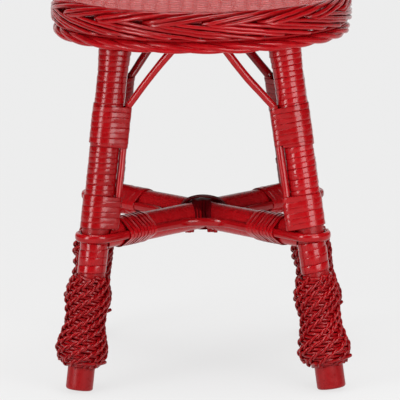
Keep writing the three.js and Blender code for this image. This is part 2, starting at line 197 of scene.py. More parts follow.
class Bundle:
    """Swept strands gathered into one mesh. Each point carries its place along and round its
    strand, and the strand's own tone, for the material."""

    def __init__(self, seed):
        self.rng = np.random.default_rng(seed)
        self.points, self.faces, self.lay = [], [], []
        self.count = 0

    def strand(
        self,
        line,
        facing,
        half_width,
        half_depth,
        sides=8,
        square=1.0,
        closed=False,
        shade=0.0,
    ):
        """A rod along a line. Its depth lies towards facing and its width across it; square
        below 1 makes the section boxy, and shade lowers its tone, as painted shade."""
        line = np.asarray(line, float)
        n = len(line)
        if closed:
            tangent = np.roll(line, -1, axis=0) - np.roll(line, 1, axis=0)
        else:
            tangent = np.gradient(line, axis=0)
        tangent /= np.linalg.norm(tangent, axis=1)[:, None]
        facing = np.broadcast_to(np.asarray(facing, float), (n, 3))
        depth = facing - (facing * tangent).sum(1)[:, None] * tangent
        depth /= np.linalg.norm(depth, axis=1)[:, None]
        width = np.cross(tangent, depth)
        angle = 2 * math.pi * (np.arange(sides) + 0.5) / sides
        c, s = np.cos(angle), np.sin(angle)
        c = np.sign(c) * np.abs(c) ** square
        s = np.sign(s) * np.abs(s) ** square
        across = np.broadcast_to(half_width, n)[:, None, None] * width[:, None] * c[:, None]
        deep = np.broadcast_to(half_depth, n)[:, None, None] * depth[:, None] * s[:, None]
        rings = line[:, None] + across + deep
        tone = self.rng.uniform(0, 1) - shade
        start = self.rng.uniform(0, 5)
        at = lengths_of(line) + start
        lay = np.empty((n, sides, 3))
        lay[:, :, 0] = at[:, None]
        lay[:, :, 1] = angle / (2 * math.pi)
        lay[:, :, 2] = tone
        self.points.append(rings.reshape(-1, 3))
        self.lay.append(lay.reshape(-1, 3))
        index = self.count + np.arange(n * sides).reshape(n, sides)
        beside = np.roll(index, -1, axis=1)
        last = n if closed else n - 1
        for i in range(last):
            j = (i + 1) % n
            quads = np.stack([index[i], index[j], beside[j], beside[i]], axis=1)
            self.faces.extend(quads.tolist())
        if not closed:
            self.faces.append(index[0].tolist())
            self.faces.append(index[-1][::-1].tolist())
        self.count += n * sides

    def piece(self, name, material, replaced):
        """The strands as one object, which stands for a CAD node."""
        mesh = bpy.data.meshes.new(name)
        mesh.from_pydata(np.vstack(self.points).tolist(), [], self.faces)
        lay = mesh.attributes.new("lay", "FLOAT_VECTOR", "POINT")
        lay.data.foreach_set("vector", np.vstack(self.lay).astype(np.float32).ravel())
        mesh.shade_smooth()
        mesh.set_sharp_from_angle(angle=SHARP)
        mesh.materials.append(material)
        obj = bpy.data.objects.new(name, mesh)
        bpy.context.scene.collection.objects.link(obj)
        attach(obj, "root")
        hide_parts(replaced)


# ---- Winding a strip of cane round a loop ----


def circle_loop(radius, n=72):
    """Points and outward normals round a circle."""
    a = 2 * math.pi * np.arange(n) / n
    out = np.stack([np.cos(a), np.sin(a)], axis=1)
    return radius * out, out


def hull_loop(circles, offset, n=96):
    """Points and outward normals round a taut line about circles (x, y, rx, ry)."""
    a = 2 * math.pi * np.arange(48) / 48
    cloud = []
    for x, y, rx, ry in circles:
        cloud += list(zip(x + (rx + offset) * np.cos(a), y + (ry + offset) * np.sin(a)))
    cloud.sort()

    def chain(points):
        """The lower side of the points' convex hull, from left to right."""
        kept = []
        for p in points:
            while len(kept) > 1:
                (ax, ay), (bx, by) = kept[-2], kept[-1]
                if (bx - ax) * (p[1] - ay) - (by - ay) * (p[0] - ax) > 1e-12:
                    break
                kept.pop()
            kept.append(p)
        return kept[:-1]

    ring = np.array(chain(cloud) + chain(cloud[::-1]))
    ring = np.vstack([ring, ring[:1]])
    at = lengths_of(ring)
    even = np.linspace(0, at[-1], n, endpoint=False)
    loop = np.stack([np.interp(even, at, ring[:, k]) for k in range(2)], axis=1)
    for _ in range(2):
        loop = (np.roll(loop, 1, axis=0) + 2 * loop + np.roll(loop, -1, axis=0)) / 4
    way = np.roll(loop, -1, axis=0) - np.roll(loop, 1, axis=0)
    way /= np.linalg.norm(way, axis=1)[:, None]
    return loop, np.stack([way[:, 1], -way[:, 0]], axis=1)


WOUND_STEP = 2.6 * MM  # between the points of a wound strip
OVERLAP = 1.12  # a turn's width, as a share of the pitch
STRIP_SQUARE = 0.48  # how boxy a strip's section is
TUCK_TURN, TUCK_DEPTH = 0.2, 0.8 * MM  # both ends of a strip dive in over this part of a turn
# How a wound strip wanders along the axis, off the loop, in tilt and in width, each as
# (amount, wavelength in turns).
WANDER_ALONG = ((0.28 * MM, 1.9), (0.2 * MM, 0.7))
WANDER_OFF = ((0.16 * MM, 1.3), (0.1 * MM, 0.41))
WANDER_TILT = (0.09, 1.7)
WANDER_WIDTH = (0.04, 2.3)


def wind(
    bundle,
    place,
    loop,
    low,
    high,
    pitch,
    half_depth,
    start=0.0,
    lean=0.0,
    flare=None,
    saddle=None,
    part=0.0,
):
    """A strip wound edge to edge round a loop, from one distance along the axis to another.
    lean tips each turn over the next like a shingle. flare, as (from, to, amount), widens the
    far end. saddle lets the loop lengthen with the distance from the middle, beyond the
    distance given, and part spreads the turns on its underside."""
    rng = bundle.rng
    points, normals = loop
    n = len(points)
    turns = max(1, int(round((high - low) / pitch)))
    pitch = (high - low) / turns
    perimeter = lengths_of(np.vstack([points, points[:1]]))[-1]
    steps = max(36, int(perimeter / WOUND_STEP))
    t = np.linspace(0, turns, turns * steps + 1)
    rise = np.clip(t - 0.5, 0, turns - 1)
    along = low + pitch / 2 + pitch * rise
    for amount, wavelength in WANDER_ALONG:
        along = along + wander(t, amount, wavelength, rng)
    place_at = np.mod(t + start, 1) * n
    wrapped = np.arange(n + 1)
    loop_x = np.interp(place_at, wrapped, np.append(points[:, 0], points[0, 0]))
    loop_y = np.interp(place_at, wrapped, np.append(points[:, 1], points[0, 1]))
    normal_x = np.interp(place_at, wrapped, np.append(normals[:, 0], normals[0, 0]))
    normal_y = np.interp(place_at, wrapped, np.append(normals[:, 1], normals[0, 1]))
    lift = np.zeros(len(t))
    for amount, wavelength in WANDER_OFF:
        lift = lift + wander(t, amount, wavelength, rng)
    tuck = np.clip(np.minimum(t, turns - t) / TUCK_TURN, 0, 1)
    lift = lift - TUCK_DEPTH * (1 - tuck)
    if flare:
        lift = lift + np.interp(along, flare[:2], [0, flare[2]])
    if saddle is not None:
        loop_x = loop_x + np.clip(2 * normal_x, -1, 1) * (np.abs(along) - saddle)
    along = along + np.sign(along) * part * np.clip(-1.6 * normal_y, 0, 1)
    local = np.stack([loop_x + normal_x * lift, loop_y + normal_y * lift, along], axis=1)
    tilt = lean + wander(t, *WANDER_TILT, rng)
    facing = place.way(np.stack([normal_x, normal_y, tilt], axis=1))
    half_width = pitch / 2 * (OVERLAP + wander(t, *WANDER_WIDTH, rng))
    bundle.strand(place.point(local), facing, half_width, half_depth, sides=16, square=STRIP_SQUARE)


# ---- Materials ----


def new_material(name):
    """A material with its node tree and its shader."""
    material = bpy.data.materials.new(name)
    material.use_nodes = True
    tree = material.node_tree
    return material, tree, tree.nodes["Principled BSDF"]


def node(tree, kind, **settings):
    """A new node with some of its settings."""
    made = tree.nodes.new(kind)
    for key, value in settings.items():
        setattr(made, key, value)
    return made


def part_of(tree, vector, axis):
    """One of a vector's three parts."""
    split = node(tree, "ShaderNodeSeparateXYZ")
    tree.links.new(vector, split.inputs[0])
    return split.outputs[axis]


def noise(tree, vector, scale, detail):
    """Noise over a vector, as the value that it gives."""
    made = node(tree, "ShaderNodeTexNoise")
    made.inputs["Scale"].default_value = scale
    made.inputs["Detail"].default_value = detail
    tree.links.new(vector, made.inputs["Vector"])
    return made.outputs["Fac"]


def maths(tree, operation, value, *numbers):
    """A value worked on with plain numbers."""
    made = node(tree, "ShaderNodeMath", operation=operation)
    tree.links.new(value, made.inputs[0])
    for index, number in enumerate(numbers, 1):
        made.inputs[index].default_value = number
    return made


def ranged(tree, value, low, high, to_low=0.0, to_high=1.0, kind="LINEAR"):
    """A value mapped from one range to another."""
    made = node(tree, "ShaderNodeMapRange", interpolation_type=kind)
    made.inputs["From Min"].default_value = low
    made.inputs["From Max"].default_value = high
    made.inputs["To Min"].default_value = to_low
    made.inputs["To Max"].default_value = to_high
    tree.links.new(value, made.inputs["Value"])
    return made.outputs["Result"]


def ramp(tree, value, stops):
    """A colour that follows a value through stops of (position, colour)."""
    made = node(tree, "ShaderNodeValToRGB")
    elements = made.color_ramp.elements
    for index, (position, colour) in enumerate(stops):
        element = elements[index] if index < len(elements) else elements.new(position)
        element.position = position
        element.color = (*colour, 1)
    tree.links.new(value, made.inputs["Fac"])
    return made.outputs["Color"]


def covered(tree, under, over, amount):
    """The colour under, covered with the plain colour over as far as amount says."""
    made = node(tree, "ShaderNodeMix", data_type="RGBA")
    made.inputs[7].default_value = (*over, 1)
    tree.links.new(amount, made.inputs[0])
    tree.links.new(under, made.inputs[6])
    return made.outputs[2]


def bump(tree, height, strength, distance):
    """A bump node over a height."""
    made = node(tree, "ShaderNodeBump")
    made.inputs["Strength"].default_value = strength
    made.inputs["Distance"].default_value = distance
    tree.links.new(height, made.inputs["Height"])
    return made


def darker(colour, share):
    """A share of a colour's light."""
    return tuple(share * channel for channel in colour)


ENAMEL_IOR = 1.35
GRAIN_SCALE = (60, 26, 90)  # along the strand, round it, and from strand to strand


def enamel(name, colour, dark, crease_shade, rough=0.12, grain=0.5, shine=0.5, colour_below=None):
    """Gloss enamel over cane or rattan: the grain shows through as fine lines along the strand,
    the coat pools unevenly, and the creases at the strand's sides get painted shade, darker and
    duller. fresh, as (height, colour), is a colour that covers everything below the height."""
    material, tree, shader = new_material(name)
    links = tree.links
    shader.inputs["IOR"].default_value = ENAMEL_IOR
    lay = node(tree, "ShaderNodeAttribute", attribute_name="lay").outputs["Vector"]
    where = node(tree, "ShaderNodeTexCoord").outputs["Object"]

    # Fine lines along the strand, and unevenness of the coat.
    stretch = node(tree, "ShaderNodeVectorMath", operation="MULTIPLY")
    stretch.inputs[1].default_value = GRAIN_SCALE
    links.new(lay, stretch.inputs[0])
    lines = noise(tree, stretch.outputs[0], 1.0, 3.0)
    pools = noise(tree, where, 140.0, 4.0)

    # Each strand has its own tone, pooled paint is deeper, and strands with painted shade go
    # darkest.
    tone = maths(tree, "MULTIPLY_ADD", part_of(tree, lay, "Z"), 0.5)
    links.new(pools, tone.inputs[2])
    paint = ramp(tree, tone.outputs[0], [(0.0, darker(dark, 0.45)), (0.25, dark), (0.95, colour)])
    if colour_below:
        height, low_colour = colour_below
        up = part_of(tree, where, "Z")
        below = ranged(tree, up, height + 4 * MM, height - 4 * MM, kind="SMOOTHSTEP")
        paint = covered(tree, paint, low_colour, below)

    # The sides of the section lie at 0 and a half of the way round. Creases there get painted shade:
    # a darker colour and less shine.
    turn = maths(tree, "MULTIPLY", part_of(tree, lay, "Y"), 2 * math.pi)
    side = maths(tree, "COSINE", turn.outputs[0])
    size = maths(tree, "ABSOLUTE", side.outputs[0])
    near = ranged(tree, size.outputs[0], 0.5, 0.97, kind="SMOOTHSTEP")
    depth = maths(tree, "MULTIPLY", near, crease_shade)
    crease_shade_paint = covered(tree, paint, darker(dark, 0.3), depth.outputs[0])
    links.new(crease_shade_paint, shader.inputs["Base Color"])
    dull = maths(tree, "MULTIPLY_ADD", near, -shine * min(1, 2 * crease_shade), shine)
    links.new(dull.outputs[0], shader.inputs["Specular IOR Level"])

    # The coat is rougher where it is thin.
    gloss = ranged(tree, pools, 0.3, 0.7, rough * 0.75, rough * 1.5)
    links.new(gloss, shader.inputs["Roughness"])
    fine = bump(tree, lines, 0.35 * grain, 0.3 * MM)
    coat = bump(tree, pools, 0.08, 0.6 * MM)
    links.new(fine.outputs["Normal"], coat.inputs["Normal"])
    links.new(coat.outputs["Normal"], shader.inputs["Normal"])
    return material


# Colours, linear.
RED = (0.3, 0.0022, 0.0045)
DEEP = (0.2, 0.001, 0.002)
DARK_RED = (0.19, 0.0018, 0.0035)
DARK_DEEP = (0.11, 0.0009, 0.0018)
WORN = (0.26, 0.0025, 0.004)
SOFT_RED = (0.26, 0.0016, 0.0032)
# A lighter copy of the red enamel: painted light on the cross poles, hoop, bars, arm bindings and
# rope.
PAINTED_LIGHT_RED = (0.37, 0.003, 0.006)
# The seat's red is paler and pinker than the rest: a painted sheen for the light its top reflects.
SEAT_SHEEN_RED = (0.42, 0.022, 0.02)
SEAT_SHEEN_DEEP = (0.36, 0.013, 0.012)
MAROON = (0.13, 0.0025, 0.005)
INK = (0.06, 0.001, 0.0025)

POLE_ENAMEL = enamel("pole_enamel", PAINTED_LIGHT_RED, RED, 0.0, rough=0.24, grain=0.3, shine=0.42)
FOOT_ENAMEL = enamel("foot_enamel", WORN, DARK_RED, 0.0, rough=0.3, grain=0.5, shine=0.4)
ROD_ENAMEL = enamel("rod_enamel", RED, DEEP, 0.0, rough=0.1, grain=0.35)
CANE_ENAMEL = enamel("cane_enamel", RED, DEEP, 0.45, rough=0.14)
ARM_ENAMEL = enamel("arm_enamel", PAINTED_LIGHT_RED, RED, 0.7, rough=0.12)
WICKER_ENAMEL = enamel("wicker_enamel", RED, DEEP, 0.7, rough=0.13)
CUFF_ENAMEL = enamel("cuff_enamel", SOFT_RED, DARK_RED, 0.35, rough=0.17, shine=0.45)
ROPE_ENAMEL = enamel("rope_enamel", PAINTED_LIGHT_RED, DEEP, 0.3, rough=0.15, grain=0.25)
SEAT_ENAMEL = enamel("seat_enamel", SEAT_SHEEN_RED, SEAT_SHEEN_DEEP, 0.25, rough=0.3, shine=1.0)
# Darker copies of the red enamel: painted shade for the back braces and the back legs' bindings.
SHADED_BACK_ROD_ENAMEL = enamel("shaded_back_rod_enamel", DARK_RED, DARK_DEEP, 0.0, rough=0.1, grain=0.35)
SHADED_BACK_CANE_ENAMEL = enamel("shaded_back_cane_enamel", DARK_RED, DARK_DEEP, 0.75, rough=0.12)
# The lashing is dark maroon above and red below a height 4 mm under the cross poles' middle.
LASHING = enamel(
    "lashing", MAROON, INK, 0.6, rough=0.42, shine=0.03, colour_below=(LOOP_HEIGHT - 4 * MM, RED)
)


def steel():
    """Drawn wire, for the nails: fine scratches along it and a little tarnish."""
    material, tree, shader = new_material("steel")
    links = tree.links
    shader.inputs["Metallic"].default_value = 1.0
    where = node(tree, "ShaderNodeTexCoord").outputs["Object"]
    spots = noise(tree, where, 260.0, 5.0)
    tarnish = ramp(tree, spots, [(0.35, (0.2, 0.17, 0.14)), (0.65, (0.5, 0.5, 0.49))])
    links.new(tarnish, shader.inputs["Base Color"])
    scratches = node(tree, "ShaderNodeTexWave")
    scratches.inputs["Scale"].default_value = 900.0
    scratches.inputs["Distortion"].default_value = 6.0
    links.new(where, scratches.inputs["Vector"])
    gloss = ranged(tree, scratches.outputs["Fac"], 0, 1, 0.25, 0.45)
    links.new(gloss, shader.inputs["Roughness"])
    return material


STEEL = steel()
for leg, _, _ in LEGS:
    for nail in (f"cross_nail_{leg}", f"seat_nail_{leg}"):
        bpy.data.objects[nail].material_slots[0].material = STEEL

# ---- Legs ----


SOLE = 1.9 * MM  # where the cut end lies along the axis, so that its low side meets the ground
FOOT_ROUNDING = 3 * MM
FOOT_SWELL = {-1: 0.4 * MM, 1: 1.3 * MM}  # how much thicker the bare foot is
WRAP_STRIP = 1.15 * MM  # half the thickness of the cane wound on the legs
WRAP_FLARE = (375 * MM, 400 * MM, 1.7 * MM)  # it thickens between these heights, by this much
UPPER_PITCH, LOWER_PITCH = 6.3 * MM, 8.8 * MM  # between its turns
LOWER_SLIMMER = 0.9 * MM  # the lower winding's radius is this much less
BINDING_STRIP = 0.75 * MM
BINDING_PITCH = 6.4 * MM


def leg_pole(name, sx, sy, seed):
    """The bare rattan pole: cut square and rounded below, level at the top."""
    place = leg_place(sx, sy)
    bundle = Bundle(seed)
    arc = np.radians(np.linspace(8, 90, 7))
    rounded = SOLE + FOOT_ROUNDING * (1 - np.cos(arc))
    inset = FOOT_ROUNDING * (1 - np.sin(arc))
    top = LEG_TOP * LENGTHENING - 6 * MM
    body = np.append(np.arange(rounded[-1] + 4 * MM, top, 8 * MM), top)
    along = np.concatenate([rounded, body])
    radius = np.concatenate([POLE - inset, np.full(len(body), POLE)])
    heights = np.array([35, 90, 180, 200]) * MM
    radius += np.interp(along, heights, [FOOT_SWELL[sx], 0.1 * MM, 0.1 * MM, 1.1 * MM])
    line = place.point(np.stack([0 * along, 0 * along, along], axis=1))
    bundle.strand(line, place.axes[0], radius, radius, sides=48)
    points = bundle.points[0]
    points[:, 2] = np.maximum(points[:, 2], 0)
    bundle.piece(f"pole_{name}", FOOT_ENAMEL, f"leg_pole_{name}")


def brace_seat(sx, sy):
    """Where the brace stands beside the leg, across the leg's axis, and its radius there."""
    radius, turn = BRACE[sx], BRACE_TURN[sx]
    reach = WRAP + STANDOFF[sx, sy] + radius
    return -sx * reach * math.cos(turn), sy * reach * math.sin(turn), radius


def leg_winding(name, sx, sy, seed):
    """The cane wound straight on the pole, above the cross and below it."""
    place = leg_place(sx, sy)
    for part, (low, high), pitch, radius in (
        ("upper", UPPER_WRAP, UPPER_PITCH, WRAP),
        ("lower", LOWER_WRAP, LOWER_PITCH, WRAP - LOWER_SLIMMER),
    ):
        bundle = Bundle(seed + len(part) + int(low * 1e4))
        loop = circle_loop(radius - WRAP_STRIP + 0.1 * MM)
        low, high = low * LENGTHENING, high * LENGTHENING
        wind(bundle, place, loop, low, high, pitch, WRAP_STRIP, flare=WRAP_FLARE)
        bundle.piece(
            f"winding_{part}_{name}", CANE_ENAMEL, f"leg_wrap_{part}_{name}"
        )


def leg_bindings(name, sx, sy, seed):
    """The cane that holds the brace to the leg, wound round both in two places."""
    place = leg_place(sx, sy)
    # The back legs' bindings are painted darker, as shade.
    material = CANE_ENAMEL if sy < 0 else SHADED_BACK_CANE_ENAMEL
    x, y, radius = brace_seat(sx, sy)
    circles = [(0, 0, WRAP, WRAP), (x, y, radius, radius)]
    loop = hull_loop(circles, BINDING_STRIP + 0.2 * MM)
    for part, (low, high), start in (
        ("upper", UPPER_BINDING, 0.1),
        ("lower", LOWER_BINDING, 0.6),
    ):
        bundle = Bundle(seed + len(part) + int(low * 1e4))
        low, high = low * LENGTHENING, high * LENGTHENING
        wind(bundle, place, loop, low, high, BINDING_PITCH, BINDING_STRIP, start=start)
        bundle.piece(
            f"binding_{part}_{name}", material, f"{part}_binding_{name}"
        )


BRACE_SAG = 1.4 * MM  # how far a brace bows off the straight line above its bend
BRACE_BEND = 5 * MM  # from the bend's corner to where it starts
BACK_STOUTER = 1.15  # the back braces' radius, as a share of the front ones'


def brace(name, sx, sy, seed):
    """A rod that runs straight up beside the leg, then bends in to the hoop under the seat."""
    bundle = Bundle(seed)
    place = leg_place(sx, sy)
    x, y, radius = brace_seat(sx, sy)
    foot = place.point((x, y, (LOWER_BINDING[0] + 1 * MM) * LENGTHENING))
    elbow = place.point((x, y, BRACE_ELBOW * LENGTHENING))
    head = np.array([sx * BRACE_TOP[sx], sy * BRACE_TOP_OUT, HOOP_HEIGHT - HOOP_ROD * 0.6])
    down = (foot - elbow) / np.linalg.norm(foot - elbow)
    up = (head - elbow) / np.linalg.norm(head - elbow)
    # The bend is tight. Above it the left rods bow up a little, and the right ones down.
    sag = np.array([-1, 0, -0.9 * sx]) * BRACE_SAG
    keys = [
        elbow + down * BRACE_BEND,
        elbow + (down + up) * BRACE_BEND * 0.22,
        elbow + up * BRACE_BEND,
        elbow + (head - elbow) * 0.4 + sag,
        elbow + (head - elbow) * 0.75 + sag * 0.6,
        head,
    ]
    line = np.vstack([resample([foot, keys[0]], 8 * MM)[:-1], smooth_line(keys, 1.5 * MM)])
    at = lengths_of(line)
    line = line + place.axes[0] * wander(at, 0.2 * MM, 0.11, bundle.rng)[:, None]
    stout = 1.0 if sy < 0 else BACK_STOUTER
    size = stout * np.interp(at, [0, at[-1] * 0.5, at[-1]], [radius, radius, BRACE_HIGH])
    size = size * (1 + wander(at, 0.015, 0.06, bundle.rng))
    bundle.strand(line, place.axes[1], size, size, sides=20)
    # The back braces are painted darker, as shade.
    material = ROD_ENAMEL if sy < 0 else SHADED_BACK_ROD_ENAMEL
    bundle.piece(f"strut_{name}", material, f"brace_{name}")


# ---- Cuffs: rods wound round the leg and twined over with slanting pairs ----

CUFF_RINGS = 4.3 * MM  # pitch of the wound rods
CUFF_STARTS = 5  # rods wound side by side, running down to the right
CUFF_ROPES = 9  # slanting pairs
CUFF_RISE = 100 * MM  # a slanting pair's rise in one turn
CUFF_OVER = 2.6 * MM  # a pair's middle lies this far out from the wound rods
CUFF_TWIST = 1.45 * MM  # from a pair's middle to the axis of each of its rods
CUFF_TWIST_PITCH = 5.2 * MM  # the height in which a pair twists half round
CUFF_ROD = 1.7 * MM  # radius of the twisted rods
CUFF_RING_ROD = 2.25 * MM  # radius of the wound rods
CUFF_STUBS = 6  # cut ends round the border below
CUFF_LUMP, CUFF_LUMP_LENGTH = 0.8 * MM, 17 * MM
CUFF_MEAN_RADIUS = 24 * MM  # the slant of a pair is worked out at this radius
# How much fuller than even each cuff was woven, and how far it sits to the left, in mm.
CUFF_SHAPE = {
    "front_left": (0.8, 1.8),
    "front_right": (1.2, 2.7),
    "back_left": (-0.4, 2.4),
    "back_right": (0.0, 1.6),
}


def cuff_radius(height):
    """Outer radius of the cuff at a distance along the leg's axis."""
    line = smooth_line([(z * MM * LENGTHENING, r * MM, 0) for z, r in CUFF_PROFILE], 1 * MM)
    return np.interp(height, line[:, 0], line[:, 1])


def cuff(name, sx, sy, seed):
    """One wicker cuff."""
    place = leg_place(sx, sy)
    bundle = Bundle(seed)
    rng = bundle.rng
    low, high = CUFF_PROFILE[0][0] * MM * LENGTHENING, CUFF_PROFILE[-1][0] * MM * LENGTHENING
    innermost = POLE + CUFF_ROD + 0.2 * MM
    fuller, drift = (n * MM for n in CUFF_SHAPE[name])
    phase = rng.uniform(0, 6)

    def lay(theta, along, radius, half, shade=0.0):
        """A rod round the leg, facing out."""
        out = np.stack([np.cos(theta), np.sin(theta), 0 * theta], axis=1)
        local = out * radius[:, None]
        local[:, 2] = along
        bundle.strand(place.point(local), place.way(out), half, half, shade=shade)

    def middle_at(theta, along):
        """The radius of the wound rods, swelling a little unevenly round the leg."""
        lump = CUFF_LUMP * np.sin(2 * theta + phase) * np.sin(along / CUFF_LUMP_LENGTH + phase)
        outer = cuff_radius(along) + fuller - drift * np.cos(theta) + lump
        return np.maximum(outer - CUFF_ROD - CUFF_TWIST - CUFF_OVER, innermost + 0.3 * MM)

    # The wound rods, nearly level, from the top down, with painted shade where the pairs cover them.
    lead = CUFF_STARTS * CUFF_RINGS
    top = high - CUFF_ROD
    turns = (top - low - CUFF_ROD) / lead
    for k in range(CUFF_STARTS):
        t = np.linspace(0, turns, int(turns * 44))
        theta = 2 * math.pi * (t + k / CUFF_STARTS)
        along = top - lead * t
        radius = middle_at(theta, along) + wander(t, 0.5 * MM, 0.37, rng)
        along = along + wander(t, 0.7 * MM, 0.45, rng)
        lay(theta, along, radius, CUFF_RING_ROD * (1 + wander(t, 0.07, 0.7, rng)), shade=0.15)

    # The slanting pairs of rods twisted together.
    turns = (high - low - 4 * CUFF_ROD) / CUFF_RISE
    slant = math.atan2(CUFF_RISE, 2 * math.pi * CUFF_MEAN_RADIUS)
    for k in range(CUFF_ROPES):
        start = 2 * math.pi * k / CUFF_ROPES + rng.uniform(-0.12, 0.12)
        t = np.linspace(0, turns, int(turns * 110))
        theta = start + 2 * math.pi * t
        along = low + 2 * CUFF_ROD + CUFF_RISE * t + wander(t, 1.2 * MM, 0.45, rng)
        twist = along / CUFF_TWIST_PITCH + rng.uniform(0, 2)
        middle = middle_at(theta, along)
        for strand in (0, 1):
            angle = math.pi * (twist + strand)
            spread = CUFF_TWIST + wander(t, 0.2 * MM, 0.3, rng)
            radius = np.maximum(middle + CUFF_OVER + spread * np.cos(angle), innermost)
            sideways = CUFF_TWIST * np.sin(angle)
            lay(
                theta - sideways * math.sin(slant) / middle,
                along + sideways * math.cos(slant),
                radius,
                CUFF_ROD * (1 + wander(t, 0.08, 0.4, rng)),
            )

    # The border below: rods that hug the pole, each with its cut end left sticking out.
    hug = innermost + 0.8 * MM
    t = np.linspace(0, 1, 30)
    for k in range(CUFF_STUBS):
        theta = 2 * math.pi * k / CUFF_STUBS + rng.uniform(-0.2, 0.2) + 2.1 * t
        stub = cuff_radius(low + 9 * MM) + rng.uniform(-1.5, 1.5) * MM
        radius = hug + (stub - hug) * t**3
        along = low + CUFF_ROD + (0.5 + 5.5 * t + rng.uniform(-0.5, 1.5) * t) * MM
        lay(theta, along, radius, CUFF_RING_ROD * (1 + 0 * t))
    bundle.piece(f"cuff_{name}", CUFF_ENAMEL, f"leg_cuff_{name}")


# ---- The cross of poles, the looped rods and their bindings ----


def coped(point, sx, sy):
    """A point of a cross pole's end, moved out along the pole to the winding on a leg."""
    leg = leg_place(sx, sy)
    axis = leg.axes[2]
    out = np.array([sx, sy, 0]) / math.sqrt(2)
    rel = point - leg.origin
    flat = rel - rel.dot(axis) * axis
    step = out - out.dot(axis) * axis
    a, b, c = step.dot(step), 2 * step.dot(flat), flat.dot(flat) - (WRAP + GAP) ** 2
    return point + out * (-b - math.sqrt(max(b * b - 4 * a * c, 0))) / (2 * a)


def cross_pole(name, ends, keeps, seed):
    """A pole between two legs, coped to the windings on them and half-lapped at the crossing.
    keeps is 1 where it keeps its upper half there and -1 where it keeps its lower half."""
    bundle = Bundle(seed)
    place = arm_place(*ends)
    reach = LEG_DISTANCE - WRAP - 0.5 * MM
    lap = CROSS + GAP
    along = np.concatenate([
        np.linspace(-reach, -lap - 0.2 * MM, 24),
        np.linspace(-lap, lap, 9),
        np.linspace(lap + 0.2 * MM, reach, 24),
    ])
    size = CROSS * (1 + wander(along, 0.008, 0.13, bundle.rng))
    line = place.point(np.stack([along, 0 * along, 0 * along], axis=1))
    bundle.strand(line, (0, 0, 1), size, size, sides=40)
    points = bundle.points[0].reshape(len(along), -1, 3)
    lapped = np.abs(along) <= lap + 1e-9
    limit = LOOP_HEIGHT + keeps * GAP / 2
    clip = np.maximum if keeps > 0 else np.minimum
    points[lapped, :, 2] = clip(points[lapped, :, 2], limit)
    for end, (sx, sy) in ((0, (-ends[0], -ends[1])), (-1, ends)):
        points[end] = [coped(point, sx, sy) for point in points[end]]
    bundle.piece(f"pole_{name}", POLE_ENAMEL, name)


SCARF = 11 * MM  # half the length of the joint between two looped rods
SCARF_SHIFT = 26 * MM  # from the middle of the bow
# In an arm's own axes: the middle of a bow, the corner that its curve rounds off, and the
# distance out at which it leaves the pole.
BOW_MIDDLE = BOW_DISTANCE / math.sqrt(2)
BOW_CORNER = 2 * BOW_MIDDLE - LOOP_OFFSET
BOW_START = BOW_CORNER + 1.6 * (BOW_CORNER - BOW_MIDDLE)


def bow(side, past):
    """From beside the pole to the middle of the bow and past it, in the arm's own axes."""
    start = np.array([BOW_START, side * LOOP_OFFSET])
    corner = np.array([BOW_CORNER, side * LOOP_OFFSET])
    middle = np.array([BOW_MIDDLE, side * BOW_MIDDLE])
    t = np.linspace(0, 1, 15)[:, None]
    curve = (1 - t) ** 2 * start + 2 * t * (1 - t) * corner + t**2 * middle
    line = curve
    if past >= 0:
        # Past the middle the rod follows the neighbour's side of the same bow.
        mirrored = curve[::-1]
        flip = np.stack([side * mirrored[:, 1], side * mirrored[:, 0]], axis=1)
        line = np.vstack([curve, flip[1:]])
    at = lengths_of(line)
    even = np.linspace(0, lengths_of(curve)[-1] + past, 26)
    return np.stack([np.interp(even, at, line[:, k]) for k in range(2)], axis=1)


def loop_rod(name, sx, sy, seed):
    """A rod looped round a leg, running in beside the pole and bowing across to its neighbours.
    One end is long and one short, and each is shaved to a scarf where it meets the next rod."""
    bundle = Bundle(seed)
    rng = bundle.rng
    place = arm_place(sx, sy)
    left = bow(1, SCARF_SHIFT + SCARF)[::-1]
    right = bow(-1, -SCARF_SHIFT + SCARF)
    a = np.linspace(math.pi / 2, -math.pi / 2, 25)
    arc = np.stack([LEG_DISTANCE + LOOP_OFFSET * np.cos(a), LOOP_OFFSET * np.sin(a)], axis=1)
    run = np.linspace(BOW_START, LEG_DISTANCE, 14)[1:-1]
    left_run = np.stack([run, np.full(len(run), LOOP_OFFSET)], axis=1)
    right_run = np.stack([run[::-1], np.full(len(run), -LOOP_OFFSET)], axis=1)
    flat = np.vstack([left, left_run, arc, right_run, right])
    line = np.column_stack([flat, np.zeros(len(flat))])
    at = lengths_of(line)
    total = at[-1]
    shaved = np.clip(np.minimum(at, total - at) / (2 * SCARF), 0, 1)
    half = LOOP_HALF[0] * (0.12 + 0.88 * shaved)
    tangent = np.gradient(line, axis=0)
    tangent /= np.linalg.norm(tangent, axis=1)[:, None]
    side = np.cross(tangent, [0, 0, 1])
    # One end keeps the outer half of the scarf and the other the inner half.
    hand = np.where(at < total / 2, 1, -1)
    line = line + side * (hand * (LOOP_HALF[0] - half))[:, None]
    line[:, 2] += wander(at, 0.4 * MM, 0.17, rng)
    tall = LOOP_HALF[1] * (1 + wander(at, 0.03, 0.08, rng)) * (0.75 + 0.25 * np.sqrt(shaved))
    bundle.strand(place.point(line), (0, 0, 1), half, tall, sides=16, square=0.85)
    bundle.piece(f"loop_{name}", ROD_ENAMEL, f"loop_rod_{name}")


ARM_PITCH = 5.7 * MM
ARM_LEAN = -0.1


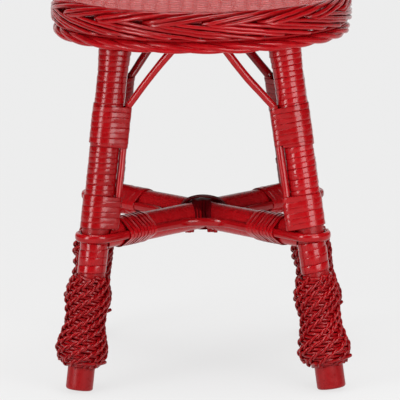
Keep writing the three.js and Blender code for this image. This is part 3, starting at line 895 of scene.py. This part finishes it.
def arm_binding(name, sx, sy, seed):
    """The cane that holds a looped rod's two sides to the cross pole between them."""
    bundle = Bundle(seed)
    arm = arm_place(sx, sy)
    # The winding's axis runs along the arm.
    place = Place(arm.origin, arm.axes[1], arm.axes[2], arm.axes[0])
    circles = [(0, 0, CROSS, CROSS)]
    for x in (LOOP_OFFSET, -LOOP_OFFSET):
        circles.append((x, 0, *LOOP_HALF))
    loop = hull_loop(circles, BINDING_STRIP + 0.2 * MM)
    low = ARM_BINDING_START[name]
    high = low + ARM_BINDING_LENGTH
    wind(bundle, place, loop, low, high, ARM_PITCH, BINDING_STRIP, start=0.3, lean=ARM_LEAN)
    bundle.piece(f"arm_winding_{name}", ARM_ENAMEL, f"arm_binding_{name}")


LASHING_STRIP = 0.8 * MM
LASHING_PITCH = 3.9 * MM


def crossing(seed):
    """Two bands of lashing wound at right angles over the crossing: the inner one is seen
    upright, and the outer one is wound loosely over it."""
    wide = CROSS * math.sqrt(2)
    x, y, z = np.eye(3)
    # Each band's place, half width, saddle, rise above the poles and spread below them.
    inner = Place((-1.5 * MM, 0, LOOP_HEIGHT - 1.2 * MM), y, z, x)
    outer = Place((0.3 * MM, 1.5 * MM, LOOP_HEIGHT + 2.2 * MM), x, z, -y)
    for name, place, half, near, rise, part in (
        ("inner", inner, 11.6 * MM, 6 * MM, 1.5 * MM, 8 * MM),
        ("outer", outer, 7.8 * MM, 0.5 * MM, 2.2 * MM, 0),
    ):
        bundle = Bundle(seed + len(name) + int(half * 1e4))
        circles = [(near, 0, wide, CROSS + rise), (-near, 0, wide, CROSS + rise)]
        loop = hull_loop(circles, LASHING_STRIP)
        wind(
            bundle, place, loop, -half, half, LASHING_PITCH, LASHING_STRIP, saddle=near, part=part
        )
        bundle.piece(f"lashing_{name}", LASHING, f"crossing_band_{name}")


# ---- The seat ----


def ring_line(radius, height, n):
    """A level circle about the stool's middle."""
    a = 2 * math.pi * np.arange(n) / n
    return np.stack([radius * np.cos(a), radius * np.sin(a), np.full(n, height)], axis=1)


def seat_hoop(seed):
    """The rattan hoop under the seat."""
    bundle = Bundle(seed)
    line = ring_line(HOOP_RADIUS, HOOP_HEIGHT, 120)
    bundle.strand(line, (0, 0, 1), HOOP_ROD, HOOP_ROD, sides=16, closed=True)
    bundle.piece("hoop", POLE_ENAMEL, "seat_hoop")


def seat_bar(name, y, seed):
    """A bar across the hoop, under the weave."""
    bundle = Bundle(seed)
    reach = math.sqrt((HOOP_RADIUS - HOOP_ROD) ** 2 - y**2) + 1 * MM
    x = np.linspace(-reach, reach, 30)
    line = np.stack([x, np.full(len(x), y), np.full(len(x), HOOP_HEIGHT)], axis=1)
    size = BAR_ROD * (1 + wander(x, 0.015, 0.09, bundle.rng))
    bundle.strand(line, (0, 0, 1), size, size, sides=16)
    bundle.piece(f"rod_{name}", POLE_ENAMEL, name)


STAKE_PITCH = 15 * MM
STAKE_ROD = 2.0 * MM
WEAVER_PITCH = 7 * MM
WEAVER_ROD = 2.8 * MM
WEAVER_WIDE, WEAVER_DEEP = 1.32, 0.95  # shares of its radius: the weavers are beaten close
WEAVER_WAVE = 0.42  # how far it rises over a stake, as a share of its radius


def seat_weave(seed):
    """Weavers that run from side to side, over and under stakes that run from front to back."""
    bundle = Bundle(seed)
    rng = bundle.rng
    middle = PANEL_TOP - 1.4 * WEAVER_ROD - 0.2 * MM
    edge = PANEL_RADIUS - 1.5 * MM
    rows = int(edge / WEAVER_PITCH)
    for j in range(-rows, rows + 1):
        y = j * WEAVER_PITCH
        reach = math.sqrt(edge**2 - y**2)
        count = max(5, int(2 * reach / (STAKE_PITCH / 6)))
        x = np.linspace(-reach, reach, count)
        wave = np.cos(math.pi * x / STAKE_PITCH + math.pi * (j % 2))
        z = middle + WEAVER_ROD * WEAVER_WAVE * np.sign(wave) * np.abs(wave) ** 0.6
        line = np.stack([x, y + wander(x, 0.35 * MM, 0.05, rng), z], axis=1)
        size = WEAVER_ROD * (1 + wander(x, 0.05, 0.07, rng))
        bundle.strand(line, (0, 0, 1), size * WEAVER_WIDE, size * WEAVER_DEEP)
    stakes = int(edge / STAKE_PITCH)
    for i in range(-stakes, stakes + 1):
        x = i * STAKE_PITCH
        reach = math.sqrt(edge**2 - x**2)
        y = np.linspace(-reach, reach, 60)
        line = np.stack([x + wander(y, 0.3 * MM, 0.06, rng), y, np.full(len(y), middle)], axis=1)
        bundle.strand(line, (0, 0, 1), STAKE_ROD, STAKE_ROD)
    bundle.piece("woven_seat", SEAT_ENAMEL, "seat_panel")


# The braided edge: pairs of rods that rise round it to the right, over pairs that run down to the
# right below them. Each line is the edge's outside, as (distance in from the outside, height) in mm.
BORDER_ROD = 2.6 * MM
RISING_STOUTER = 1.12  # the rising rods' radius, as a share of the falling ones'
RISING_SPANS, FALLING_SPANS = 2.35, 2.5  # how many groups a rod crosses
BORDER_DIVE = 0.11  # the share of a rod at each end that dives in
BORDER_GROUPS = 16  # pairs, once round
BORDER_LAG = 5.0 * MM  # the second rod of a pair starts this far up the line
BORDER_SUNK = 5.5 * MM  # both ends of a rod dive this far in
RISING = [(3.4, 430.5), (2.9, 436), (3.4, 441), (6, 444.9), (10.5, 446.5), (15.5, 446.4), (20, 445)]
FALLING = [(6, 440), (3.1, 436), (2.7, 430), (2.7, 423), (2.8, 417)]
BORDER_CORES = [(8.0, 427), (8.0, 422), (7.5, 417)]  # the edge is plaited over these rods


def border_line(keys):
    """Points along one of the lines above, one a millimetre, with outward normals."""
    line = smooth_line([(SEAT_RADIUS - d * MM, z * MM, 0) for d, z in keys], 1 * MM)[:, :2]
    way = np.gradient(line, axis=0)
    way /= np.linalg.norm(way, axis=1)[:, None]
    out = np.stack([way[:, 1], -way[:, 0]], axis=1)
    return line, out if out[0, 0] > 0 else -out


def border_strand(bundle, line, theta, up, sunk, rod):
    """A rod that lies a given way up a border line, sunk a given depth under it."""
    points, normals = line
    at = np.clip(up / MM, 0, len(points) - 1)
    index = np.arange(len(points))
    r, z, nr, nz = (np.interp(at, index, c) for c in (*points.T, *normals.T))
    r, z = r - nr * sunk, z - nz * sunk
    out = np.stack([np.cos(theta), np.sin(theta)], axis=1)
    path = np.column_stack([out * r[:, None], z])
    facing = np.column_stack([out * nr[:, None], nz])
    span = theta * SEAT_RADIUS
    size = rod * (1 + wander(span, 0.05, 0.09, bundle.rng))
    bundle.strand(path, facing, size, size, sides=10)


def braid(seed):
    """The edge of the seat. Each rod crosses a few groups on its way up or down."""
    bundle = Bundle(seed)
    rng = bundle.rng
    pitch = 2 * math.pi / BORDER_GROUPS
    u = np.linspace(0, 1, 46)
    dive = (1 - np.clip(np.minimum(u, 1 - u) / BORDER_DIVE, 0, 1)) ** 2
    for distance, height in BORDER_CORES:
        core = ring_line(SEAT_RADIUS - distance * MM, height * MM, 180)
        bundle.strand(core, (0, 0, 1), BORDER_ROD, 2.2 * MM, sides=10, closed=True)
    for keys, rod, spans in (
        (FALLING, BORDER_ROD, FALLING_SPANS),
        (RISING, BORDER_ROD * RISING_STOUTER, RISING_SPANS),
    ):
        line = border_line(keys)
        length = (len(line[0]) - 1) * MM
        for group in range(BORDER_GROUPS):
            start = group * pitch + rng.uniform(-0.012, 0.012)
            for side in (0, 1):
                stretch = spans * pitch * (1 - 0.4 * side / spans) + rng.uniform(-0.02, 0.02)
                theta = start + u * stretch
                span = theta * SEAT_RADIUS
                up = BORDER_LAG + (length - BORDER_LAG) * u if side else (length - 2 * MM) * u
                up = up + wander(span, 0.35 * MM, 0.06, rng)
                sunk = BORDER_SUNK * dive + wander(span, 0.25 * MM, 0.05, rng)
                border_strand(bundle, line, theta, up, sunk + 0.3 * MM, rod)
    bundle.piece("braid", WICKER_ENAMEL, "rim_braid")


ROPE_STARTS = 26  # strands seen starting, once round; three lie side by side
ROPE_ROD = 3.75 * MM
ROPE_HALF_WIDTH = 6.5 * MM
ROPE_INSET = 8.4 * MM  # its axis lies this far inside the CAD ring's outer edge
LINING_INSET = 11 * MM


def rope(seed):
    """A rope of three thick rods twisted together, closed on itself after three rounds."""
    bundle = Bundle(seed)
    top, bottom = RIM_SEAM - 2.4 * MM, RIM_BOTTOM - 0.9 * MM
    theta = np.linspace(0, 6 * math.pi, 3 * 330, endpoint=False)
    turn = theta * ROPE_STARTS / 3
    uneven = sum(0.25 * MM * np.sin(k * theta / 3 + k) for k in (19, 31, 53))
    out = (ROPE_HALF_WIDTH - ROPE_ROD) * np.cos(turn) + ROPE_RADIUS - ROPE_INSET + uneven
    up = (ROPE_ROD - (top - bottom) / 2) * np.sin(turn) + (top + bottom) / 2 + uneven * 0.5
    line = np.stack([out * np.cos(theta), out * np.sin(theta), up], axis=1)
    size = ROPE_ROD * (1 + 0.04 * np.sin(23 * theta / 3) + 0.03 * np.sin(41 * theta / 3))
    bundle.strand(line, (0, 0, 1), size, size, sides=12, closed=True)
    # A plain rod lies behind them and closes the seam above.
    lining = ring_line(ROPE_RADIUS - LINING_INSET, top - 2.6 * MM, 180)
    bundle.strand(lining, (0, 0, 1), 2.6 * MM, 2.9 * MM, sides=12, closed=True)
    bundle.piece("rope", ROPE_ENAMEL, "rim_rope")


# ---- Assembly ----

for index, (name, sx, sy) in enumerate(LEGS):
    seed = 100 * (index + 1)
    leg_pole(name, sx, sy, seed)
    leg_winding(name, sx, sy, seed + 1)
    leg_bindings(name, sx, sy, seed + 2)
    cuff(name, sx, sy, seed + 3)
    brace(name, sx, sy, seed + 5)
    loop_rod(name, sx, sy, seed + 20)
    arm_binding(name, sx, sy, seed + 30)

cross_pole("cross_pole_front_left", (1, 1), -1, 501)
cross_pole("cross_pole_front_right", (-1, 1), 1, 502)
crossing(510)
seat_hoop(520)
seat_bar("seat_bar_front", -BAR_OFFSET, 521)
seat_bar("seat_bar_back", BAR_OFFSET, 522)
seat_weave(530)
braid(540)
rope(541)

# ---- Floor, light and camera ----

FLOOR_HALF = 14.0
FLOOR_GREY = 0.09
FLOOR_GLOW = 0.738  # keeps the floor an even pale grey out to the horizon


def floor():
    """A plain pale floor."""
    mesh = bpy.data.meshes.new("floor")
    near, far = -FLOOR_HALF, FLOOR_HALF
    corners = [(near, near, 0), (far, near, 0), (far, far, 0), (near, far, 0)]
    mesh.from_pydata(corners, [], [(0, 1, 2, 3)])
    material, _, shader = new_material("floor")
    shader.inputs["Base Color"].default_value = (FLOOR_GREY, FLOOR_GREY, FLOOR_GREY, 1)
    shader.inputs["Roughness"].default_value = 0.9
    shader.inputs["Specular IOR Level"].default_value = 0.0
    shader.inputs["Emission Color"].default_value = (1, 1, 1, 1)
    shader.inputs["Emission Strength"].default_value = FLOOR_GLOW
    mesh.materials.append(material)
    obj = bpy.data.objects.new("floor", mesh)
    bpy.context.scene.collection.objects.link(obj)


LIT_POINT = Vector((0, 0, 0.25))
# Name, azimuth, elevation, distance from the lit point, width, height and power.
SOFTBOXES = [
    ("left_core", -48, 9, 1.4, 0.34, 0.7, 6.4),
    ("left_fill", -48, 9, 1.45, 0.66, 0.76, 4.4),
    ("left_top", -45, 38, 2.0, 1.0, 0.8, 6),
    ("right_core", 31, 9, 0.8, 0.42, 0.42, 3.8),
    ("right_fill", 31, 9, 0.85, 0.8, 0.46, 0.8),
    ("back_wall", 180, 13, 6.0, 7.0, 2.8, 46),
    ("back_left", -140, 25, 3.0, 0.8, 1.6, 3),
    ("back_right", 140, 25, 3.0, 0.8, 1.6, 3),
]


def softbox(name, azimuth, elevation, distance, width, height, power):
    """An area light facing the stool. Azimuth 0 is the front, positive to the right."""
    a, e = math.radians(azimuth), math.radians(elevation)
    way = Vector((math.sin(a) * math.cos(e), -math.cos(a) * math.cos(e), math.sin(e)))
    data = bpy.data.lights.new(name, "AREA")
    data.shape = "RECTANGLE"
    data.size = width
    data.size_y = height
    data.energy = power
    obj = bpy.data.objects.new(name, data)
    obj.location = LIT_POINT + way * distance
    obj.rotation_mode = "QUATERNION"
    obj.rotation_quaternion = way.to_track_quat("Z", "Y")
    bpy.context.scene.collection.objects.link(obj)


def sun(strength, spread):
    """Soft light from straight above."""
    data = bpy.data.lights.new("overhead", "SUN")
    data.energy = strength
    data.angle = math.radians(spread)
    obj = bpy.data.objects.new("overhead", data)
    bpy.context.scene.collection.objects.link(obj)


floor()
sun(strength=3.0, spread=45)
for box in SOFTBOXES:
    softbox(*box)

world = bpy.data.worlds.new("studio")
bpy.context.scene.world = world
world.use_nodes = True
world.node_tree.nodes["Background"].inputs["Color"].default_value = (1, 1, 1, 1)
world.node_tree.nodes["Background"].inputs["Strength"].default_value = 0.08
bpy.context.scene.view_settings.view_transform = "Standard"

CAMERA_FROM = Vector((0, -4.53, 1.0987))
CAMERA_AT = Vector((-0.0032, 0, 0.1974))
CAMERA_ROLL = math.radians(-0.392)
FOCAL_LENGTH = 347.6  # mm, on a sensor 36 mm wide


def camera():
    """The camera at the photograph's viewing angle."""
    data = bpy.data.cameras.new("camera")
    data.sensor_width = 36
    data.lens = FOCAL_LENGTH
    obj = bpy.data.objects.new("camera", data)
    look = (CAMERA_AT - CAMERA_FROM).normalized()
    right = look.cross(Vector((0, 0, 1))).normalized()
    up = right.cross(look)
    c, s = math.cos(CAMERA_ROLL), math.sin(CAMERA_ROLL)
    x, y = c * right + s * up, -s * right + c * up
    obj.matrix_world = Matrix.Translation(CAMERA_FROM) @ Matrix((x, y, -look)).transposed().to_4x4()
    bpy.context.scene.collection.objects.link(obj)
    bpy.context.scene.camera = obj


camera()
